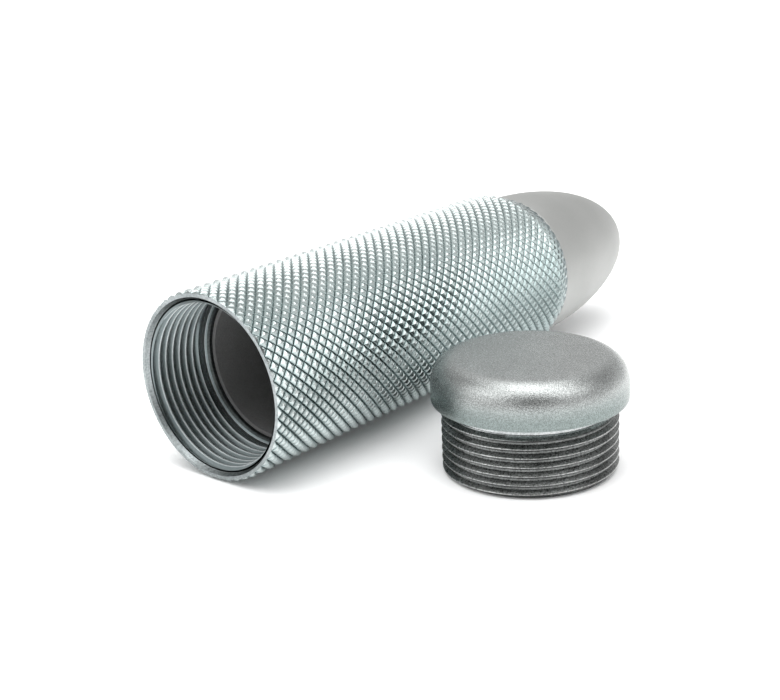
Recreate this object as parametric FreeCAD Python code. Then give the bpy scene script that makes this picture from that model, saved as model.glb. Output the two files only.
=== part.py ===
import FreeCAD, Part
import math
import os

# Rod case: a knurled aluminium tube with a rounded nose fixed in its far end and a screw cap
# for its mouth.  Millimetres, +Z up.  The tube lies along X on the plane z = 0 with its open
# mouth towards -X; the cap is off and stands on its plug beside the tube, on the -Y side.
# Every piece is drawn on the X axis with the mouth's face at x = 0 and the cap screwed home.
# The cap is then unscrewed and carried to where it stands, and all of it is moved to the frame.

V = FreeCAD.Vector
ORIGIN = V(0, 0, 0)
ALONG = V(1, 0, 0)

# overall
R_BODY = 16.0            # over the knurl's crests, and the cap's head
L_TUBE = 82.5            # mouth face to seam
L_NOSE = 36.5            # seam to tip
HALF_GAP = 19.35         # tube axis and cap axis lie this far either side of y = 0
CAP_BACK = 34.1          # the standing cap's axis, measured back from the mouth's face

# tube
L_FULL = 78.3            # length at full radius; the rest tapers down to the nose
R_SEAM = 14.4            # outer radius where tube and nose meet
MOUTH_CHAMFER = 0.45
R_CBORE = 14.75          # short plain counterbore in the mouth
L_CBORE = 0.7
R_RELIEF = 14.8          # groove that the internal thread runs out into
S_RELIEF = 11.4
L_RELIEF = 1.3
S_BORE = 13.3            # where the plain bore starts, after a sloping shoulder
R_SHOULDER = 14.05
R_BORE = 13.4
S_SEAT = 72.0            # the nose's spigot sits in a slightly wider seat from here on

# thread, M29 x 1.5, right hand
PITCH = 1.5
R_INT_CREST = 13.75
R_INT_ROOT = 14.6
R_EXT_CREST = 14.4
R_EXT_ROOT = 13.6
R_PITCH = 14.03
FLANK = math.tan(math.radians(30.0))
AXIAL_CLEAR = 0.07       # each flank
THREAD_BREAK = 0.45      # chamfer where the internal thread starts and ends

# nose
R_SPIGOT = 13.7
L_SPIGOT = 10.0
R_NOSE_BORE = 9.7
S_NOSE_BORE = 105.0      # end of the straight bore, from the mouth
NOSE_CONE = 5.0

# liner, a thin dark sleeve glued in the plain bore
R_LINER = 13.36
R_LINER_IN = 12.75
S_LINER = 13.9
S_LINER_END = 71.6

# end pad, a loose foam disc in the nose's bore
R_PAD = 9.62
T_PAD = 6.0
S_PAD = 85.6

# cap
H_HEAD = 7.2
H_WALL = 2.8
R_TOP = 11.9
L_PLUG = 11.8
R_NECK = 13.5
L_NECK = 1.0
PLUG_CHAMFER = 0.6
R_HOLLOW = 11.2
D_HOLLOW = 9.0
R_CAP_PAD = 11.14
T_CAP_PAD = 2.5
ADVANCE = 13.2           # travel from plug clear of the mouth to head seated on it


def revolve(points):
    """Solid of revolution about X from a closed outline of (x, r) points."""
    outline = [V(x, r, 0) for x, r in points]
    outline.append(outline[0])
    face = Part.Face(Part.makePolygon(outline))
    return face.revolve(ORIGIN, ALONG, 360)


def helix_bar(x_start, x_end, r_in, r_out, half_in, half_out):
    """Right-hand helical bar about X, trapezoid section, from x_start to x_end."""
    helix = Part.makeHelix(PITCH, x_end - x_start, r_in)
    points = [V(r_in, 0, -half_in), V(r_out, 0, -half_out)]
    points += [V(r_out, 0, half_out), V(r_in, 0, half_in)]
    points.append(points[0])
    bar = Part.Wire(helix.Edges).makePipeShell([Part.makePolygon(points)], True, True)
    # one phase for every bar: underneath, the section's centre is at a whole pitch
    bar.rotate(ORIGIN, V(0, 0, 1), 360.0 * x_start / PITCH)
    bar.translate(V(0, 0, x_start))
    bar.rotate(ORIGIN, V(0, 1, 0), 90)
    return bar


def half_width(r, grow):
    """Half the axial width, at radius r, of a ridge that is widest at its foot."""
    return PITCH / 4.0 - (r - R_PITCH) * FLANK + grow


def one_solid(shape):
    """The largest solid of a boolean result."""
    return max(shape.Solids, key=lambda s: s.Volume)


def make_tube():
    c = MOUTH_CHAMFER
    k = THREAD_BREAK
    end = S_RELIEF + L_RELIEF
    body = revolve([
        (0, R_BODY - c), (c, R_BODY), (L_FULL, R_BODY), (L_TUBE, R_SEAM), (L_TUBE, R_SPIGOT),
        (S_SEAT, R_SPIGOT), (S_SEAT, R_BORE), (S_BORE, R_BORE), (end, R_SHOULDER),
        (end, R_RELIEF), (S_RELIEF, R_RELIEF), (S_RELIEF, R_INT_CREST + k),
        (S_RELIEF - k, R_INT_CREST), (L_CBORE + k, R_INT_CREST), (L_CBORE, R_INT_CREST + k),
        (L_CBORE, R_CBORE), (0.3, R_CBORE), (0, R_CBORE + 0.3),
    ])
    # the groove is the cap's ridge with clearance, widest where the ridge has its foot
    r_in = R_INT_CREST - 0.35
    groove = helix_bar(-0.3, S_RELIEF + 0.45, r_in, R_INT_ROOT,
                       half_width(r_in, AXIAL_CLEAR), half_width(R_INT_ROOT, AXIAL_CLEAR))
    groove.rotate(ORIGIN, ALONG, 90)
    tube = one_solid(body.cut(groove))
    print("internal thread removed", round(body.Volume - tube.Volume, 1))
    return tube


def make_nose():
    # outside: half of an ellipse turned about X, with a hair of a chamfer at the seam
    outer = []
    for i in range(1, 25):
        a = math.pi / 2 * i / 24
        outer.append(V(L_TUBE + L_NOSE * math.sin(a), R_SEAM * math.cos(a), 0))
    outer[-1] = V(L_TUBE + L_NOSE, 0, 0)
    start = V(L_TUBE + 0.25, R_SEAM, 0)
    curve = Part.BSplineCurve()
    curve.interpolate([start] + outer, InitialTangent=V(1, 0, 0), FinalTangent=V(0, -1, 0))
    x0 = L_TUBE - L_SPIGOT
    line = [
        V(L_TUBE + L_NOSE, 0, 0), V(S_NOSE_BORE + NOSE_CONE, 0, 0), V(S_NOSE_BORE, R_NOSE_BORE, 0),
        V(x0, R_NOSE_BORE, 0), V(x0, R_SPIGOT - 0.5, 0), V(x0 + 0.5, R_SPIGOT, 0),
        V(L_TUBE, R_SPIGOT, 0), V(L_TUBE, R_SEAM - 0.25, 0), start,
    ]
    edges = [Part.makeLine(a, b) for a, b in zip(line[:-1], line[1:])]
    edges.append(curve.toShape())
    face = Part.Face(Part.Wire(edges))
    return one_solid(face.revolve(ORIGIN, ALONG, 360))


def make_liner():
    return revolve([(S_LINER, R_LINER_IN), (S_LINER, R_LINER),
                    (S_LINER_END, R_LINER), (S_LINER_END, R_LINER_IN)])


def make_end_pad():
    return revolve([(S_PAD, 0), (S_PAD, R_PAD), (S_PAD + T_PAD, R_PAD), (S_PAD + T_PAD, 0)])


def make_thread():
    """The plug's threaded sleeve, from the neck to the chamfered end."""
    bar = Part.makeCylinder(R_EXT_ROOT, L_PLUG - L_NECK, V(L_NECK, 0, 0), ALONG)
    r_in = R_EXT_ROOT - 0.15
    ridge = helix_bar(L_NECK - 0.75, L_PLUG + 1.4, r_in, R_EXT_CREST,
                      half_width(r_in, 0.0), half_width(R_EXT_CREST, 0.0))
    # what is left after both ends are chamfered and the plug is bored out
    envelope = revolve([
        (L_NECK, R_HOLLOW), (L_NECK, R_EXT_CREST - 0.6), (L_NECK + 0.7, R_EXT_CREST + 0.1),
        (L_PLUG - PLUG_CHAMFER, R_EXT_CREST + 0.1), (L_PLUG, R_EXT_CREST - 1.0),
        (L_PLUG, R_HOLLOW),
    ])
    sleeve = one_solid(bar.fuse(ridge).common(envelope))
    print("external ridge and sleeve", round(sleeve.Volume, 1))
    sleeve.rotate(ORIGIN, ALONG, 90)
    return sleeve


def make_cap():
    # the head is on the -X side of the mouth's face and the plug reaches into the tube
    edge_in = V(-H_WALL, R_BODY, 0)
    edge_out = V(-H_HEAD, R_TOP, 0)
    bulge = math.sin(math.pi / 4)
    mid = V(-H_WALL - (H_HEAD - H_WALL) * bulge, R_TOP + (R_BODY - R_TOP) * bulge, 0)
    x_in = L_PLUG - D_HOLLOW
    x_lap = x_in + 0.8
    line = [
        V(-H_HEAD, 0, 0), V(x_in, 0, 0), V(x_in, R_HOLLOW, 0), V(x_lap, R_HOLLOW, 0),
        V(x_lap, R_NECK - 0.2, 0), V(L_NECK, R_NECK - 0.2, 0), V(L_NECK, R_NECK, 0),
        V(0, R_NECK, 0), V(0, R_BODY - 0.25, 0), V(-0.25, R_BODY, 0), edge_in,
    ]
    edges = [Part.makeLine(p, q) for p, q in zip(line[:-1], line[1:])]
    edges.append(Part.Arc(edge_in, mid, edge_out).toShape())
    edges.append(Part.makeLine(edge_out, V(-H_HEAD, 0, 0)))
    core = Part.Face(Part.Wire(edges)).revolve(ORIGIN, ALONG, 360)
    return one_solid(core.fuse(make_thread()))


def make_cap_pad():
    x = L_PLUG - D_HOLLOW
    return revolve([(x, 0), (x, R_CAP_PAD), (x + T_CAP_PAD, R_CAP_PAD), (x + T_CAP_PAD, 0)])


def carry_cap():
    """Axis, angle and pivot of the turn from where the cap stands to just before the mouth.

    Before the mouth the cap's head faces -X and its foot's centre is at (-ADVANCE, 0, 0).
    Standing, the head faces +Z and the foot's centre is above the plug's end on the floor.
    One turn about one axis joins the two.
    """
    ready = V(-ADVANCE, 0, 0)
    stand = V(CAP_BACK, -2 * HALF_GAP, L_PLUG - R_BODY)
    t = ready - stand
    n = V(-1, (t.x - t.z) / t.y, 1)
    n.normalize()
    up = V(0, 0, 1)
    out = V(-1, 0, 0)
    p = up - n * up.dot(n)
    q = out - n * out.dot(n)
    turn = math.degrees(math.atan2(p.cross(q).dot(n), p.dot(q)))
    # the pivot lies on the chord's middle plane, at the radius that the turn asks for
    side = n.cross(t)
    pivot = (ready + stand) * 0.5 + side * (0.5 / math.tan(math.radians(turn) / 2))
    return n, turn, pivot


def main():
    n, turn, pivot = carry_cap()
    shift = V(-(L_TUBE + L_NOSE) / 2, HALF_GAP, R_BODY)
    print("turn", turn, "axis", tuple(n), "pivot in the frame", tuple(pivot + shift))
    still = {"tube": make_tube(), "nose": make_nose(), "liner": make_liner(),
             "end_pad": make_end_pad()}
    loose = {"cap": make_cap(), "cap_pad": make_cap_pad()}
    os.makedirs("parts", exist_ok=True)
    for shape in loose.values():
        shape.rotate(ORIGIN, ALONG, -360.0 * ADVANCE / PITCH)
        shape.translate(V(-ADVANCE, 0, 0))
        shape.rotate(pivot, n, -turn)
    for name, shape in list(still.items()) + list(loose.items()):
        shape.translate(shift)
        shape.exportStep("parts/%s.step" % name)
        box = shape.optimalBoundingBox()
        print(name, shape.isValid(), round(shape.Volume, 2), len(shape.Solids),
              [round(v, 3) for v in (box.XMin, box.XMax, box.YMin, box.YMax, box.ZMin, box.ZMax)])


main()
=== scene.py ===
import bpy
import bmesh
import math
import numpy as np
from mathutils import Matrix, Vector


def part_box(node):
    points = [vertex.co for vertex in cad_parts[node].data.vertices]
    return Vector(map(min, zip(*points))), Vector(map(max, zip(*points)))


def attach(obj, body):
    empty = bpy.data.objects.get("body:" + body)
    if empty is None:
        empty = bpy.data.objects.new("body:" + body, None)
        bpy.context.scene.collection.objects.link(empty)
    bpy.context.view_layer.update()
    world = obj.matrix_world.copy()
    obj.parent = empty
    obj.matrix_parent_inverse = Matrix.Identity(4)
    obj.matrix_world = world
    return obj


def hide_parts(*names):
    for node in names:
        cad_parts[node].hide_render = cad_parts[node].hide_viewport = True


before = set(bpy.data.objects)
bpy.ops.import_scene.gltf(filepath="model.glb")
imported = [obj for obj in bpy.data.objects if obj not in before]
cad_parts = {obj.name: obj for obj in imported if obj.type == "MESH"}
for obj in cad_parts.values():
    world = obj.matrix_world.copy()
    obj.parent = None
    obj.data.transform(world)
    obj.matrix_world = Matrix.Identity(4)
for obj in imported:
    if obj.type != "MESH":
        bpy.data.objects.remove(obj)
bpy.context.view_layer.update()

# ---------------------------------------------------------------- sizes, in millimetres
MM = 0.001
tube_lo, tube_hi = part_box("tube")
cap_lo, cap_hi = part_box("cap")
end_pad_lo, end_pad_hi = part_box("end_pad")
cap_pad_lo, cap_pad_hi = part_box("cap_pad")
MOUTH_X = tube_lo.x / MM
TUBE_Y = (tube_lo.y + tube_hi.y) / 2 / MM
TUBE_Z = (tube_lo.z + tube_hi.z) / 2 / MM
CAP_X = (cap_lo.x + cap_hi.x) / 2 / MM
CAP_Y = (cap_lo.y + cap_hi.y) / 2 / MM
PAD_S = (end_pad_lo.x + end_pad_hi.x) / 2 / MM - MOUTH_X      # middle of the end pad, from the mouth
CAP_PAD_Z = (cap_pad_lo.z + cap_pad_hi.z) / 2 / MM

R_BODY = 16.0                    # over the knurl's tops, and the cap's head
PITCH = 1.5                      # of both threads

# tube: places along it, s, are from the mouth's face
S_THREAD, S_THREAD_END = 0.7, 11.4
S_GROOVE_END = 12.7              # the thread runs out into a plain groove
S_SHOULDER_END = 13.3            # a bright sloping shoulder leads to the plain bore
S_SEAT = 72.0                    # the nose's spigot sits in a wider seat from here on
L_FULL = 78.3                    # the outside tapers from here to the seam
L_TUBE = 82.5
R_RIM = 14.95                    # the knurl's mesh takes the mouth's face in to here
R_GROOVE = 14.8
R_SHOULDER = 14.05
R_BORE = 13.4
R_SPIGOT = 13.7
R_SEAM = 14.4
R_INT_CREST, R_INT_ROOT = 13.75, 14.6
MOUTH_EDGE = 0.45                # the knurl is turned down this much at the mouth
THREAD_EDGE = 0.45               # chamfer at each end of the mouth's thread
NEAR = 0.01                      # slack when points and faces are sorted by where they lie

# knurl
STARTS = 48                      # grooves each way round
CELL = 2 * math.pi * R_BODY / STARTS
KNURL_DEPTH = 0.52
RUN_OUT = 0.62                   # share of the depth that is lost over the far taper
RUN_OUT_LENGTH = 5.2
WELD = 0.002                     # points nearer than this are one
ON_PLANE = 0.004                 # an open edge this near an end's plane belongs to that end

# nose
L_NOSE = 36.5
R_NOSE_BORE = 9.7
S_SPIGOT = 72.5
S_NOSE_BORE_END = 105.0

# cap: heights are above the floor
R_EXT_CREST, R_EXT_ROOT = 14.4, 13.6
H_FOOT = 11.8                    # foot of the head
H_SEAT = H_FOOT + 0.03           # just clear of the tube's rim when the cap is screwed home
H_NECK = H_FOOT - 1.3            # top of the thread
H_TOP = 19.0
H_WALL = 2.8                     # straight part of the head's side
R_TOP = 11.9                     # flat part of the top
R_FOOT = 15.7                    # inside the foot's rounded edge
R_HOLLOW, H_HOLLOW = 11.2, 9.0


# ---------------------------------------------------------------- mesh helpers
def to_tube(points):
    """(s from the mouth, y, z about the tube's axis) in mm to the frame in metres."""
    p = np.asarray(points, float)
    return (p + [MOUTH_X, TUBE_Y, TUBE_Z]) * MM


def to_cap(points):
    """(x, y about the cap's axis, height above the floor) in mm to the frame in metres."""
    p = np.asarray(points, float)
    return (p + [CAP_X, CAP_Y, 0.0]) * MM


def smooth(obj):
    obj.data.polygons.foreach_set("use_smooth", [True] * len(obj.data.polygons))


def make_object(name, verts, faces):
    mesh = bpy.data.meshes.new(name)
    mesh.from_pydata([tuple(v) for v in verts], [], faces)
    mesh.validate()
    mesh.update()
    obj = bpy.data.objects.new(name, mesh)
    bpy.context.scene.collection.objects.link(obj)
    smooth(obj)
    return obj


def weld(obj):
    """Join the points that neighbouring surfaces share, and face everything outwards."""
    bm = bmesh.new()
    bm.from_mesh(obj.data)
    bmesh.ops.remove_doubles(bm, verts=bm.verts, dist=1e-6)
    bmesh.ops.recalc_face_normals(bm, faces=bm.faces)
    bm.to_mesh(obj.data)
    bm.free()
    smooth(obj)


def sharpen(obj, degrees):
    """Edges bent by more than this stay crisp, the rest are shaded smooth."""
    bm = bmesh.new()
    bm.from_mesh(obj.data)
    limit = math.radians(degrees)
    for e in bm.edges:
        if len(e.link_faces) == 2:
            e.smooth = e.calc_face_angle(0.0) < limit
    bm.to_mesh(obj.data)
    bm.free()


def polar(a, r, t):
    """The point at a along an axis, r out from it, at angle t round it."""
    return (a, r * math.cos(t), r * math.sin(t))


def bands(rows, segments, closed=False):
    """Quads between rings of points, each ring numbered after the one before."""
    faces = []
    for i in range(rows if closed else rows - 1):
        j = (i + 1) % rows
        for k in range(segments):
            m = (k + 1) % segments
            faces.append((i * segments + k, i * segments + m, j * segments + m, j * segments + k))
    return faces


def lathe(profile, segments, closed=False):
    """Rings at the profile's points, (place along the axis, radius), and quads between them."""
    angles = np.linspace(0, 2 * math.pi, segments, endpoint=False)
    verts = [polar(a, r, t) for a, r in profile for t in angles]
    return verts, bands(len(profile), segments, closed)


def merge(parts):
    """Several (verts, faces) as one."""
    verts, faces = [], []
    for v, f in parts:
        base = len(verts)
        verts += list(v)
        faces += [tuple(i + base for i in face) for face in f]
    return verts, faces


def within_pitch(a):
    """What is left of a after its whole pitches."""
    return a - math.floor(a / PITCH) * PITCH


def thread_strip(a0, a1, r_of, segments, phase):
    """A threaded wall from a0 to a1: rows of points follow the helix, and both ends are straight.

    phase(t) is how far along the axis the helix has moved at angle t, and r_of(a, q) is the
    radius at a, where q is the distance past the middle of a crest.
    """
    angles = np.linspace(0, 2 * math.pi, segments, endpoint=False)
    knots = np.array([0.0, 0.08, 0.22, 0.40, 0.60, 0.78, 0.92]) * PITCH
    first = math.floor((a0 - PITCH) / PITCH) - 1
    last = math.ceil((a1 + PITCH) / PITCH) + 1
    offsets = [k * PITCH + q for k in range(first, last) for q in knots]
    shifts = [within_pitch(phase(t)) for t in angles]
    verts, faces = [], []
    for t, shift in zip(angles, shifts):
        for o in offsets:
            a = min(max(o + shift, a0), a1)
            verts.append(polar(a, r_of(a, within_pitch(o)), t))
    n = len(offsets)
    for k in range(segments):
        m = (k + 1) % segments
        # where the shift starts again from nothing, the rows step by one pitch
        step = 0
        if shifts[m] - shifts[k] > PITCH / 2:
            step = len(knots)
        elif shifts[k] - shifts[m] > PITCH / 2:
            step = -len(knots)
        for i in range(n - 1):
            j = i - step
            if 0 <= j and j + 1 < n:
                faces.append((k * n + i, k * n + i + 1, m * n + j + 1, m * n + j))
    return verts, faces


# ---------------------------------------------------------------- materials
def nodes_of(name):
    mat = bpy.data.materials.new(name)
    mat.use_nodes = True
    nt = mat.node_tree
    return mat, nt, nt.nodes["Principled BSDF"]


def noise(nt, scale, detail=3.0, rough=0.6, stretch=None):
    tex = nt.nodes.new("ShaderNodeTexNoise")
    tex.inputs["Scale"].default_value = scale
    tex.inputs["Detail"].default_value = detail
    tex.inputs["Roughness"].default_value = rough
    coord = nt.nodes.new("ShaderNodeTexCoord")
    mapping = nt.nodes.new("ShaderNodeMapping")
    if stretch:
        mapping.inputs["Scale"].default_value = stretch
    nt.links.new(coord.outputs["Object"], mapping.inputs["Vector"])
    nt.links.new(mapping.outputs["Vector"], tex.inputs["Vector"])
    return tex


def ramp(nt, source, stops):
    """A colour ramp over source: stops are (position, colour) pairs."""
    node = nt.nodes.new("ShaderNodeValToRGB")
    els = node.color_ramp.elements
    while len(els) < len(stops):
        els.new(0.5)
    for el, (pos, col) in zip(els, stops):
        el.position = pos
        el.color = (*col, 1.0)
    nt.links.new(source, node.inputs["Fac"])
    return node


def spread(nt, source, low, high):
    """source made to run from low to high as it goes from 0 to 1."""
    node = nt.nodes.new("ShaderNodeMapRange")
    node.inputs["To Min"].default_value = low
    node.inputs["To Max"].default_value = high
    nt.links.new(source, node.inputs["Value"])
    return node


def math_node(nt, operation, first, second):
    """first and second are sockets; second may be a plain number."""
    node = nt.nodes.new("ShaderNodeMath")
    node.operation = operation
    nt.links.new(first, node.inputs[0])
    if isinstance(second, float):
        node.inputs[1].default_value = second
    else:
        nt.links.new(second, node.inputs[1])
    return node.outputs["Value"]


def vector_node(nt, operation, first, second):
    """first and second are sockets; second may be a plain vector."""
    node = nt.nodes.new("ShaderNodeVectorMath")
    node.operation = operation
    nt.links.new(first, node.inputs[0])
    if isinstance(second, (tuple, Vector)):
        node.inputs[1].default_value = second
    else:
        nt.links.new(second, node.inputs[1])
    return node.outputs["Value" if operation == "DOT_PRODUCT" else "Vector"]


def bump(nt, bsdf, source, strength, distance):
    node = nt.nodes.new("ShaderNodeBump")
    node.inputs["Strength"].default_value = strength
    node.inputs["Distance"].default_value = distance
    nt.links.new(source, node.inputs["Height"])
    nt.links.new(node.outputs["Normal"], bsdf.inputs["Normal"])


def shaded(nt, colour, groove):
    """Colour times a ramp over the mesh's knurl value: 0 at the bottom of a groove, 1 at its top. The
    ramps paint shade and highlight.
    """
    attr = nt.nodes.new("ShaderNodeAttribute")
    attr.attribute_name = "knurl"
    return vector_node(nt, "MULTIPLY", colour, ramp(nt, attr.outputs["Fac"], groove).outputs["Color"])


def speckled(nt, colour, source, amount):
    """Colour made darker and lighter from grain to grain, by amount at most: painted glints."""
    glint = ramp(nt, source, [(0.38, (1 - amount,) * 3), (0.62, (1 + amount,) * 3)])
    return vector_node(nt, "MULTIPLY", colour, glint.outputs["Color"])


def metal(nt, bsdf, colour, fine, low, high):
    """Bare metal of this colour, its roughness going from low to high with the fine noise."""
    nt.links.new(colour, bsdf.inputs["Base Color"])
    bsdf.inputs["Metallic"].default_value = 1.0
    r = spread(nt, fine.outputs["Fac"], low, high)
    nt.links.new(r.outputs["Result"], bsdf.inputs["Roughness"])


def blasted(name, dark, light, rough, grain, depth, groove=None, speckle=0.0):
    """Bead-blasted, anodised aluminium: a grain so fine that it sparkles.

    groove paints shade and highlight on the surface by its knurl value, and speckle paints glints into
    the colour, lighter and darker from grain to grain.
    """
    mat, nt, bsdf = nodes_of(name)
    fine = noise(nt, grain, 2.0, 0.7)
    wide = noise(nt, 90.0, 3.0, 0.5)
    colour = ramp(nt, wide.outputs["Fac"], [(0.3, dark), (0.7, light)]).outputs["Color"]
    if groove:
        colour = shaded(nt, colour, groove)
    # painted glints: the colour lighter and darker from grain to grain
    if speckle:
        dots = noise(nt, 4600.0, 2.0, 0.7)
        colour = speckled(nt, colour, dots.outputs["Fac"], speckle)
    metal(nt, bsdf, colour, fine, rough - 0.09, rough + 0.09)
    bump(nt, bsdf, fine.outputs["Fac"], 1.0, depth)
    return mat


def machined(name, dark, light, rough, stretch, depth, groove=None, sparkle=0.25):
    """Turned metal: a coarse grain drawn out along the turning axis, and fine scratches on it."""
    mat, nt, bsdf = nodes_of(name)
    drawn = noise(nt, 900.0, 3.0, 0.6, stretch=stretch)
    fine = noise(nt, 3000.0, 3.0, 0.7)
    wide = noise(nt, 160.0, 2.0, 0.5)
    colour = ramp(nt, wide.outputs["Fac"], [(0.3, dark), (0.72, light)]).outputs["Color"]
    if groove:
        colour = shaded(nt, colour, groove)
    # painted glints: the colour lighter and darker from grain to grain, by sparkle
    colour = speckled(nt, colour, fine.outputs["Fac"], sparkle)
    metal(nt, bsdf, colour, fine, rough - 0.08, rough + 0.1)
    bump(nt, bsdf, math_node(nt, "ADD", drawn.outputs["Fac"], fine.outputs["Fac"]), 0.8, depth)
    return mat


def soft(name, dark, light, grain, depth):
    """Felt or foam: dull, with a grain in its colour and its surface."""
    mat, nt, bsdf = nodes_of(name)
    fine = noise(nt, grain, 5.0, 0.8)
    col = ramp(nt, fine.outputs["Fac"], [(0.3, dark), (0.7, light)])
    nt.links.new(col.outputs["Color"], bsdf.inputs["Base Color"])
    r = spread(nt, fine.outputs["Fac"], 0.85, 1.0)
    nt.links.new(r.outputs["Result"], bsdf.inputs["Roughness"])
    bsdf.inputs["Specular IOR Level"].default_value = 0.15
    bump(nt, bsdf, fine.outputs["Fac"], 0.8, depth)
    return mat


def grey(value):
    return (value, value, value)


ALONG_TUBE = (0.2, 1.0, 1.0)
UP_CAP = (1.0, 1.0, 0.2)

# what each knurl value does to a colour. Outside: painted shade in the grooves, lighter up the flanks,
# and tops painted a little lighter than the metal
KNURL_SHADE = [(0.0, (0.08, 0.115, 0.12)), (0.26, (0.38, 0.45, 0.455)), (0.6, (0.82, 0.87, 0.87)),
               (0.95, grey(1.06))]
# mouth: painted shade on the thread's flanks, darker than in the grooves, and painted highlights on the
# crests
BORE_SHADE = [(0.0, (0.46, 0.50, 0.505)), (0.72, (0.33, 0.365, 0.37)), (0.98, grey(1.05))]
# plug: only the very crest is bright, a painted highlight line
THREAD_SHADE = [(0.0, (0.56, 0.57, 0.57)), (0.93, (0.60, 0.61, 0.61)), (1.0, grey(2.1))]
# head: painted shade, a darker, cooler wall under the rounded edge, and the rounded edge and flat top
# painted lighter
HEAD_SHADE = [(0.0, (0.62, 0.69, 0.68)), (1.0, grey(1.13))]

# the knurl's grooves are painted dark as shade, and its tops a little lighter
M_KNURL = blasted("knurled_aluminium", (0.50, 0.545, 0.54), (0.60, 0.64, 0.635), 0.25, 2200.0, 0.00004,
                  groove=KNURL_SHADE)
M_RIM = machined("turned_rim", (0.26, 0.287, 0.29), (0.36, 0.39, 0.395), 0.30, ALONG_TUBE, 0.00003,
                 sparkle=0.22)
# painted shade and crest highlights on the mouth's thread
M_BORE = machined("turned_bore", (0.52, 0.56, 0.565), (0.66, 0.70, 0.705), 0.38, ALONG_TUBE, 0.000004,
                  groove=BORE_SHADE, sparkle=0.08)
# painted shade: the groove behind the thread and the bore past the shoulder are coloured near black
M_DARK = machined("shaded_bore", (0.06, 0.07, 0.07), (0.10, 0.11, 0.11), 0.40, ALONG_TUBE, 0.00002)
M_NOSE = blasted("blasted_aluminium", (0.43, 0.435, 0.425), (0.475, 0.48, 0.47), 0.60, 3600.0, 0.00003)
# painted shade on the head's wall, and painted light on its rounded edge and top
M_CAP = blasted("cap_aluminium", (0.32, 0.335, 0.33), (0.36, 0.375, 0.37), 0.25, 4800.0, 0.00005,
                groove=HEAD_SHADE, speckle=0.26)
# painted highlight lines on the plug's thread crests
M_THREAD = machined("cap_thread", (0.22, 0.225, 0.22), (0.34, 0.345, 0.34), 0.28, UP_CAP, 0.00007,
                    groove=THREAD_SHADE, sparkle=0.4)
# painted light: the neck is coloured lighter than the plug's thread, against the shade of the head above
# it
M_NECK = machined("cap_neck", (0.36, 0.38, 0.38), (0.48, 0.50, 0.50), 0.22, UP_CAP, 0.00002)
M_FELT = soft("liner_felt", (0.19, 0.19, 0.19), (0.25, 0.25, 0.25), 2600.0, 0.0001)
M_FOAM = soft("foam", (0.02, 0.02, 0.022), (0.06, 0.06, 0.065), 1900.0, 0.0002)


# ---------------------------------------------------------------- knurled tube
def envelope(s):
    """Outer radius that the knurl is turned down to at its two ends."""
    if s < MOUTH_EDGE:
        return R_BODY - MOUTH_EDGE + s
    if s > L_FULL:
        # the far end stands 0.2 proud of the nose
        return R_BODY - (s - L_FULL) / (L_TUBE - L_FULL) * (R_BODY - R_SEAM - 0.2)
    return R_BODY


# one diamond of the knurl: nested squares from the groove's line (0) to the top (1), as
# (distance in from the groove in cells, height as a share of the depth)
DIAMOND = [(0.0, 0.0), (0.05, 0.26), (0.17, 0.56), (0.31, 0.84), (0.44, 1.0)]


def knurl_depth(s):
    """The roller runs out over the far taper, so the grooves get shallower from 1 mm before it."""
    return KNURL_DEPTH * (1.0 - RUN_OUT * min(max((s - L_FULL + 1.0) / RUN_OUT_LENGTH, 0.0), 1.0))


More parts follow.
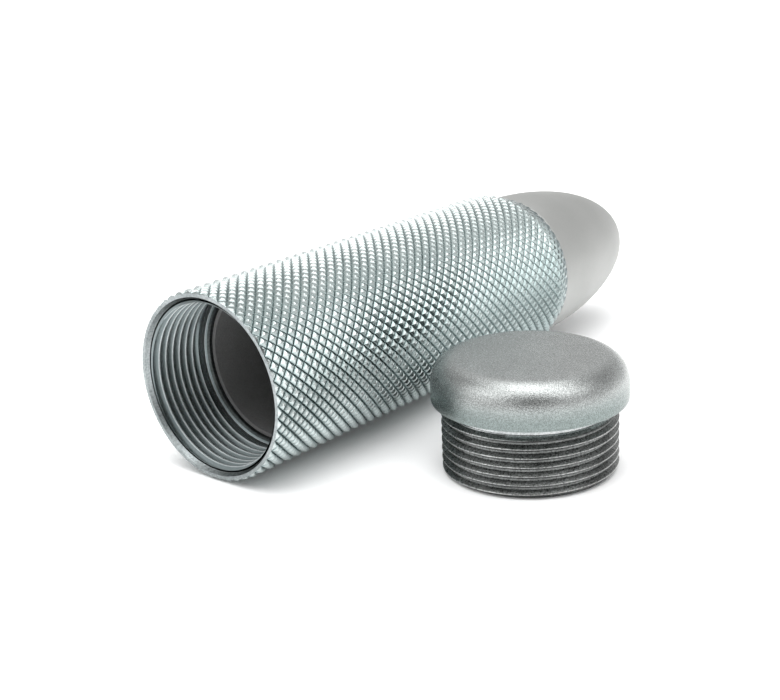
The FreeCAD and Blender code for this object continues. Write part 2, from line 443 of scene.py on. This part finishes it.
def knurl_wall():
    """The tube's outside, laid out flat and then rolled up, with the faces of its two ends.

    Two crossing sets of V grooves leave rows of small pyramids, no two quite alike. Gives the
    points, the faces, and each point's height as a share of the grooves' depth.
    """
    rng = np.random.default_rng(11)
    bm = bmesh.new()
    share = bm.verts.layers.float.new("knurl")
    corners = {}
    rows = int(L_TUBE / CELL) + 2

    def place(u, v, height):
        vert = bm.verts.new(((u + v) * CELL / 2, (u - v) * CELL / 2, 0.0))
        vert[share] = height
        return vert

    def corner(i, j):
        if (i, j) not in corners:
            corners[i, j] = place(i, j, 0.0)
        return corners[i, j]

    for turn in range(2 * STARTS):
        for along in range(-2, 2 * rows):
            if (turn + along) % 2:
                continue
            u, v = (along + turn) // 2, (along - turn) // 2
            outer = [corner(u, v), corner(u + 1, v), corner(u + 1, v + 1), corner(u, v + 1)]
            top = 1.0 - 0.05 * rng.random()
            lean_u, lean_v = rng.normal(0.0, 0.010, 2)
            for inset, height in DIAMOND[1:]:
                du, dv = lean_u * height, lean_v * height
                lo, hi = inset, 1.0 - inset
                square = [place(u + lo + du, v + lo + dv, height * top),
                          place(u + hi + du, v + lo + dv, height * top),
                          place(u + hi + du, v + hi + dv, height * top),
                          place(u + lo + du, v + hi + dv, height * top)]
                for k in range(4):
                    m = (k + 1) % 4
                    bm.faces.new((outer[k], outer[m], square[m], square[k]))
                outer = square
            bm.faces.new(outer)
    # cuts where the outside bends, so that it bends crisply
    for s in [0.12, 0.24, 0.35, MOUTH_EDGE] + [L_FULL + 0.35 * k for k in range(12)]:
        near = [f for f in bm.faces if abs(f.calc_center_median().x - s) < CELL]
        ring = set(near)
        for f in near:
            ring.update(f.edges)
            ring.update(f.verts)
        bmesh.ops.bisect_plane(bm, geom=list(ring), plane_co=(s, 0, 0), plane_no=(1, 0, 0), dist=1e-5)
    for s, keep in ((0.0, False), (L_TUBE, True)):
        geom = list(bm.verts) + list(bm.edges) + list(bm.faces)
        bmesh.ops.bisect_plane(bm, geom=geom, plane_co=(s, 0, 0), plane_no=(1, 0, 0), dist=1e-5,
                               clear_inner=not keep, clear_outer=keep)
    for v in bm.verts:
        s, arc = v.co.x, v.co.y
        h = v[share]
        if s < 1.0:
            # turning the mouth's edge cuts the tops off and leaves the grooves
            r = min(R_BODY - KNURL_DEPTH * (1.0 - h), envelope(s))
        else:
            r = envelope(s) - knurl_depth(s) * (1.0 - h)
        v.co = Vector(polar(s, r, arc / R_BODY))
    bmesh.ops.remove_doubles(bm, verts=bm.verts, dist=WELD)
    bm.verts.ensure_lookup_table()

    def open_edges(s):
        """The mesh's open edges that lie in the plane at s."""
        return [e for e in bm.edges
                if e.is_boundary and all(abs(v.co.x - s) < ON_PLANE for v in e.verts)]

    def draw_in(edges, s, r):
        """Carry the open edges on to a ring of radius r; gives the ring's edges and points."""
        out = bmesh.ops.extrude_edge_only(bm, edges=edges)["geom"]
        ring = [g for g in out if isinstance(g, bmesh.types.BMVert)]
        for v in ring:
            v.co = Vector(polar(s, r, math.atan2(v.co.z, v.co.y)))
        return [g for g in out if isinstance(g, bmesh.types.BMEdge)], ring

    edges = open_edges(0.0)
    for r in (R_RIM + 0.1, R_RIM):
        edges, ring = draw_in(edges, 0.0, r)
        for v in ring:
            v[share] = 1.0
    draw_in(open_edges(L_TUBE), L_TUBE, R_SPIGOT)
    bmesh.ops.recalc_face_normals(bm, faces=bm.faces)
    verts = [tuple(v.co) for v in bm.verts]
    shares = [v[share] for v in bm.verts]
    index = {v: i for i, v in enumerate(bm.verts)}
    # bmesh leaves its new faces in an order that changes from run to run, so they are sorted
    faces = sorted(tuple(index[v] for v in f.verts) for f in bm.faces)
    bm.free()
    return verts, faces, shares


def trapezoid(q, crest_half, root_half, crest, root):
    """Radius of a thread at q of a pitch, where q = 0 is the middle of its crest."""
    q = abs(q - round(q)) * PITCH
    if q <= crest_half:
        return crest
    if q >= root_half:
        return root
    return crest + (root - crest) * (q - crest_half) / (root_half - crest_half)


def internal_thread():
    """The mouth's helical thread."""

    def phase(t):
        # angle 0 is +Y, where a crest is half a pitch past a whole one; right-handed
        return PITCH / 2 + PITCH * t / (2 * math.pi)

    def radius(a, q):
        r = trapezoid(q / PITCH, 0.10, 0.57, R_INT_CREST, R_INT_ROOT)
        end = max(THREAD_EDGE - (a - S_THREAD), THREAD_EDGE - (S_THREAD_END - a), 0.0)
        return max(r, R_INT_CREST + end)

    return thread_strip(S_THREAD, S_THREAD_END, radius, 176, phase)


RIM = [(0.0, R_RIM), (0.04, 14.93), (0.5, 14.62), (0.64, 14.55), (S_THREAD, 14.5), (S_THREAD, 14.2)]
BORE = [(S_THREAD_END, 14.2), (S_THREAD_END, R_GROOVE), (S_GROOVE_END, R_GROOVE),
        (S_GROOVE_END, R_SHOULDER), (12.74, 13.98), (12.95, 13.75), (13.24, 13.44),
        (S_SHOULDER_END, R_BORE), (S_SEAT, R_BORE), (S_SEAT, R_SPIGOT), (L_TUBE, R_SPIGOT)]
S_BRIGHT_END = 12.96             # only the outer half of the shoulder catches light


def along_and_out(points):
    """Each point's distance from the mouth, and from the tube's axis."""
    return points[:, 0], np.hypot(points[:, 1], points[:, 2])


def groove_share(points, knurl):
    """The mesh's knurl value at each point; knurl gives it for the first ones, the outside's."""
    s, r = along_and_out(points)
    share = np.concatenate([knurl, np.ones(len(points) - len(knurl))])
    # painted light and shade: the grooves get fainter towards the far end and along the top, where the
    # photograph is hazy, and the top is painted lighter, as lit from above
    lift = np.clip((points[:, 2] / R_BODY - 0.4) / 0.5, 0.0, 1.0)
    fade = np.maximum(0.92 * np.clip((s - 20.0) / 50.0, 0.0, 1.0), 0.72 * lift)
    outside = r > R_RIM
    share[outside] += ((0.44 + 0.34 * lift - share) * fade)[outside]
    # the shoulder takes the thread's flank tone, the darkest of the painted shade
    shoulder = (s > S_GROOVE_END - NEAR) & (s < S_SHOULDER_END + NEAR) & (r < 14.02)
    share[shoulder] = 0.72
    # the thread's painted shade and crest highlights follow its radius
    thread = (s > S_THREAD - NEAR) & (s < S_THREAD_END + NEAR) & (r < 14.9)
    share[thread] = np.clip((R_INT_ROOT - r[thread]) / (R_INT_ROOT - R_INT_CREST), 0.0, 1.0)
    share[thread & (s < 1.05)] = 0.74        # the thread's chamfered start, in the flanks' painted shade
    return share


def tube_finish(points):
    """Which material each face takes, by its middle: 0 knurl, 1 rim, 2 bore, 3 shaded bore."""
    s, r = along_and_out(points)
    which = np.zeros(len(points), int)
    which[(s < S_THREAD + 2 * NEAR) & (r < 15.4)] = 1
    which[(s > S_THREAD - NEAR) & (r < 14.9) & (s < L_TUBE - 0.1)] = 2
    # painted shade: the plain groove and the inner bore take the near-black shaded_bore
    which[(s > S_THREAD_END - NEAR) & (r > 14.6) & (r < 14.9) & (s < 12.9)] = 3
    which[(s > S_BRIGHT_END) & (r < 14.0)] = 3
    return which


knurl_v, knurl_f, knurl_share = knurl_wall()
tube_v, tube_f = merge([(knurl_v, knurl_f), lathe(RIM, 192), internal_thread(), lathe(BORE, 192)])
tube = make_object("knurled_tube", to_tube(tube_v), tube_f)
share = tube.data.attributes.new("knurl", "FLOAT", "POINT")
share.data.foreach_set("value", groove_share(np.asarray(tube_v), knurl_share))
weld(tube)
sharpen(tube, 24)
for m in (M_KNURL, M_RIM, M_BORE, M_DARK):
    tube.data.materials.append(m)
centres = np.array([p.center for p in tube.data.polygons]) / MM - [MOUTH_X, TUBE_Y, TUBE_Z]
tube.data.polygons.foreach_set("material_index", tube_finish(centres))
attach(tube, "case")
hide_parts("tube")


# ---------------------------------------------------------------- nose
def nose_profile():
    """The spigot, the rounded edge at the seam, then a quarter of an ellipse to the tip."""
    out = [(S_SPIGOT, R_NOSE_BORE), (S_SPIGOT, R_SPIGOT - 0.5), (S_SPIGOT + 0.5, R_SPIGOT),
           (82.42, R_SPIGOT), (82.55, 14.0), (82.6, 14.16), (82.68, 14.3), (82.8, 14.37),
           (83.0, R_SEAM)]
    steps = 48
    for i in range(1, steps):
        a = math.pi / 2 * i / steps
        s = L_TUBE + L_NOSE * math.sin(a)
        if s > 83.2:
            out.append((s, R_SEAM * math.cos(a)))
    out.append((L_TUBE + L_NOSE, 0.02))
    return out


NOSE_BORE = [(S_SPIGOT, R_NOSE_BORE), (S_NOSE_BORE_END, R_NOSE_BORE), (105.2, 9.6), (110.0, 0.02)]
nose_v, nose_f = merge([lathe(nose_profile(), 160), lathe(NOSE_BORE, 96)])
nose = make_object("nose_shell", to_tube(nose_v), nose_f)
sharpen(nose, 30)
nose.data.materials.append(M_NOSE)
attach(nose, "case")
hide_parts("nose")


# ---------------------------------------------------------------- liner and pads
LINER = [(13.9, 12.85), (13.98, 12.75), (71.6, 12.75), (71.6, 13.36), (13.9, 13.36)]
liner_v, liner_f = lathe(LINER, 128, closed=True)
liner = make_object("felt_liner", to_tube(liner_v), liner_f)
sharpen(liner, 40)
liner.data.materials.append(M_FELT)
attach(liner, "case")
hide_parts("liner")


def foam_disc(name, radius, thick, place, seed):
    """A foam disc with rounded edges and slightly uneven faces, put where place() says."""
    wave = np.random.default_rng(seed).uniform(0, 2 * math.pi, 6)
    segments, rings, edge_steps, edge = 72, 10, 6, 0.55
    half = thick / 2
    # from the middle of one face, round the edge, to the middle of the other
    outline = [(radius * i / rings, half) for i in range(rings)]
    for i in range(1, edge_steps + 1):
        a = math.pi / 2 * i / edge_steps
        outline.append((radius - edge + edge * math.sin(a), half - edge + edge * math.cos(a)))
    outline += [(r, -h) for r, h in reversed(outline[1:])] + [(0.0, -half)]
    verts = []
    for r, h in outline:
        for k in range(segments):
            t = 2 * math.pi * k / segments
            dip = 0.05 * math.sin(3 * t + wave[0] + r) * min(r / radius, 1)
            dip += 0.04 * math.sin(r * 1.3 + wave[1])
            inward = -abs(dip) if h > 0 else abs(dip)
            verts.append(polar(h + (inward if abs(h) > half - edge else 0.0), max(r, 0.01), t))
    obj = make_object(name, place(np.array(verts)), bands(len(outline), segments))
    obj.data.materials.append(M_FOAM)
    return obj


def in_nose(points):
    return to_tube(points + [PAD_S, 0.0, 0.0])


def in_cap(points):
    return to_cap(np.column_stack([points[:, 1], points[:, 2], points[:, 0] + CAP_PAD_Z]))


end_pad = foam_disc("end_pad_foam", 9.6, 6.0, in_nose, 3)
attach(end_pad, "pad")
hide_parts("end_pad")
cap_pad = foam_disc("cap_pad_foam", 11.1, 2.5, in_cap, 5)
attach(cap_pad, "cap_pad")
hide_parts("cap_pad")


# ---------------------------------------------------------------- cap
def head_profile():
    """From the centre of the flat top, over the rounded edge and down the wall, to the foot."""
    out = [(H_TOP, 0.02), (H_TOP, 4.0), (H_TOP, 8.0), (H_TOP, 11.0)]
    drop = H_TOP - H_FOOT - H_WALL
    steps = 24
    for i in range(steps + 1):
        a = math.pi / 2 * i / steps
        out.append((H_TOP - drop * (1 - math.cos(a)), R_TOP + (R_BODY - R_TOP) * math.sin(a)))
    out += [(H_FOOT + 1.4, R_BODY), (H_FOOT + 0.3, R_BODY), (H_FOOT + 0.1, 15.92), (H_SEAT, R_FOOT)]
    return out


def external_thread():
    """The plug's helical thread, crests on the same helix as the mouth's grooves when screwed home."""
    front = math.atan2(-0.569, -0.822)       # the side that faces the camera

    def phase(t):
        # angles are from +X towards +Y; seen from above a right-hand thread climbs that way
        return H_FOOT - 3.4 + PITCH * (t - front) / (2 * math.pi)

    def radius(a, q):
        r = trapezoid(q / PITCH, 0.08, 0.62, R_EXT_CREST, R_EXT_ROOT)
        cone = R_EXT_CREST + 0.1
        if a < 0.6:
            cone = R_EXT_CREST - 1.0 + a * 1.0 / 0.6
        if a > H_NECK - 0.7:
            cone = min(cone, R_EXT_CREST - 0.7 + (H_NECK - a))
        return min(r, cone)

    return thread_strip(0.0, H_NECK, radius, 192, phase)


NECK = [(H_SEAT, R_FOOT), (H_SEAT, 13.95), (H_FOOT - 0.05, 13.9), (H_FOOT - 0.4, 13.9),
        (H_FOOT - 0.47, 13.8), (H_FOOT - 0.55, 13.88), (H_FOOT - 0.65, 13.88),
        (H_FOOT - 0.8, 13.62), (H_NECK, R_EXT_ROOT)]
UNDERSIDE = [(0.0, 13.4), (0.0, R_HOLLOW + 0.2), (0.2, R_HOLLOW), (H_HOLLOW, R_HOLLOW), (H_HOLLOW, 0.02)]


def upright(verts):
    """Lathe verts (a, y, z) stood up: a becomes height."""
    return [(y, z, a) for a, y, z in verts]


cap_v, cap_f = merge([lathe(head_profile(), 192), lathe(NECK, 192), external_thread(),
                      lathe(UNDERSIDE, 128)])
cap = make_object("screw_cap", to_cap(upright(cap_v)), cap_f)
weld(cap)
sharpen(cap, 26)
for m in (M_CAP, M_THREAD, M_NECK):
    cap.data.materials.append(m)
at = np.array([v.co for v in cap.data.vertices]) / MM - [CAP_X, CAP_Y, 0.0]
# on the plug the knurl value goes from the thread's root to its crest, and on the head from
# its wall to its rounded edge; it sets their painted shade and highlights
crest = (np.hypot(at[:, 0], at[:, 1]) - R_EXT_ROOT) / (R_EXT_CREST - R_EXT_ROOT)
edge = (at[:, 2] - H_FOOT - 2.2) / 2.0
share = cap.data.attributes.new("knurl", "FLOAT", "POINT")
share.data.foreach_set("value", np.clip(np.where(at[:, 2] > H_FOOT, edge, crest), 0.0, 1.0))
heights = np.array([p.center.z for p in cap.data.polygons]) / MM
plug = heights < H_FOOT - 0.001
which = plug.astype(int)
# the neck band takes cap_neck, painted lighter
which[plug & (heights > H_FOOT - 1.5)] = 2
cap.data.polygons.foreach_set("material_index", which)
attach(cap, "cap")
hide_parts("cap")


# ---------------------------------------------------------------- camera
LENS, SENSOR = 66.63, 36.0
# from the mouth's face, from the tube's axis, and above the floor
CAMERA_S, CAMERA_SIDE, CAMERA_HEIGHT = -146.3, -163.5, 93.5
PITCH_DOWN, ROLL = 0.3218, -0.0445

cam_data = bpy.data.cameras.new("camera")
cam = bpy.data.objects.new("camera", cam_data)
bpy.context.scene.collection.objects.link(cam)
bpy.context.scene.camera = cam
cam_data.sensor_width = SENSOR
cam_data.lens = LENS
cam_data.clip_start = 0.005
cam_data.clip_end = 20.0
look = Vector((0.7607, 0.6491, 0.0)).normalized()        # the way it faces, seen from above
right = Vector((look.y, -look.x, 0.0))
fwd = look * math.cos(PITCH_DOWN) - Vector((0, 0, 1)) * math.sin(PITCH_DOWN)
up = look * math.sin(PITCH_DOWN) + Vector((0, 0, 1)) * math.cos(PITCH_DOWN)
right_r = right * math.cos(ROLL) + up * math.sin(ROLL)
up_r = -right * math.sin(ROLL) + up * math.cos(ROLL)
rotation = Matrix((right_r, up_r, -fwd)).transposed()
place = Vector((MOUTH_X + CAMERA_S, TUBE_Y + CAMERA_SIDE, CAMERA_HEIGHT)) * MM
cam.matrix_world = Matrix.Translation(place) @ rotation.to_4x4()


# ---------------------------------------------------------------- floor and light
FLOOR_SIZE, FLOOR_CELLS = 6.0, 24
FLOOR_Z = -0.00002               # just under the object, so that nothing flickers


def floor():
    mat, nt, bsdf = nodes_of("pale_floor")
    tex = noise(nt, 12.0, 3.0, 0.5)
    col = ramp(nt, tex.outputs["Fac"], [(0.3, (0.94, 0.945, 0.95)), (0.7, (0.96, 0.96, 0.96))])
    nt.links.new(col.outputs["Color"], bsdf.inputs["Base Color"])
    bsdf.inputs["Roughness"].default_value = 0.9
    bsdf.inputs["Specular IOR Level"].default_value = 0.1
    nt.links.new(col.outputs["Color"], bsdf.inputs["Emission Color"])
    bsdf.inputs["Emission Strength"].default_value = 0.03
    n = FLOOR_CELLS
    steps = [(i / n - 0.5) * FLOOR_SIZE for i in range(n + 1)]
    verts = [(x, y, FLOOR_Z) for x in steps for y in steps]
    faces = []
    for i in range(n):
        for j in range(n):
            a = i * (n + 1) + j
            faces.append((a, a + n + 1, a + n + 2, a + 1))
    obj = make_object("floor", verts, faces)
    obj.data.materials.append(mat)


def lamp(name, height, size, power):
    """A square lamp over the middle of the scene, facing straight down."""
    data = bpy.data.lights.new(name, "AREA")
    data.energy = power
    data.shape = "RECTANGLE"
    data.size = size
    data.size_y = size
    obj = bpy.data.objects.new(name, data)
    obj.location = (0.0, 0.0, height)
    obj.rotation_euler = Vector((0.0, 0.0, -height)).to_track_quat("-Z", "Y").to_euler()
    bpy.context.scene.collection.objects.link(obj)
    return obj


def studio(base, patches):
    """A pale studio round the object: brightness by height, and soft patches of light.

    base is (height from -1 to 1, brightness) pairs; a patch is (side, height, brightness,
    tightness), its side and height in degrees, side 0 towards the camera and 90 to its right.
    """
    world = bpy.data.worlds.new("studio")
    bpy.context.scene.world = world
    world.use_nodes = True
    nt = world.node_tree
    way = nt.nodes.new("ShaderNodeTexCoord").outputs["Generated"]
    split = nt.nodes.new("ShaderNodeSeparateXYZ")
    nt.links.new(way, split.inputs["Vector"])
    height = spread(nt, split.outputs["Z"], 0.0, 1.0)
    height.inputs["From Min"].default_value = -1.0
    total = ramp(nt, height.outputs["Result"], [((h + 1) / 2, grey(v)) for h, v in base]).outputs["Color"]
    for side, lift, bright, tight in patches:
        side, lift = math.radians(side), math.radians(lift)
        middle = (right * math.sin(side) - look * math.cos(side)) * math.cos(lift)
        middle += Vector((0, 0, math.sin(lift)))
        facing = math_node(nt, "MAXIMUM", vector_node(nt, "DOT_PRODUCT", way, middle), 0.0)
        scale = nt.nodes.new("ShaderNodeVectorMath")
        scale.operation = "SCALE"
        scale.inputs[0].default_value = grey(bright)
        nt.links.new(math_node(nt, "POWER", facing, tight), scale.inputs["Scale"])
        total = vector_node(nt, "ADD", total, scale.outputs["Vector"])
    total = vector_node(nt, "MAXIMUM", total, grey(0.03))
    nt.links.new(total, nt.nodes["Background"].inputs["Color"])
    nt.nodes["Background"].inputs["Strength"].default_value = 1.0


floor()
studio([(-1.0, 1.0), (0.0, 0.98), (0.29, 0.93), (0.46, 0.44), (1.0, 0.40)],
       [(180, 56, 1.15, 16.0),           # behind
        (0, 78, 1.15, 14.0),             # overhead
        (-68, 45, 2.4, 16.0),            # left
        (56, 52, 2.8, 26.0),             # right
        (-4, 28, -0.6, 30.0)])           # a dark place by the camera, which the cap's edge shows
lamp("top_light", 0.7, 0.5, 1.5)
fill = lamp("floor_light", 1.2, 1.6, 11.0)
fill.visible_glossy = False      # it lifts the paper to white and leaves no mark in the metal

bpy.context.scene.view_settings.view_transform = "Standard"
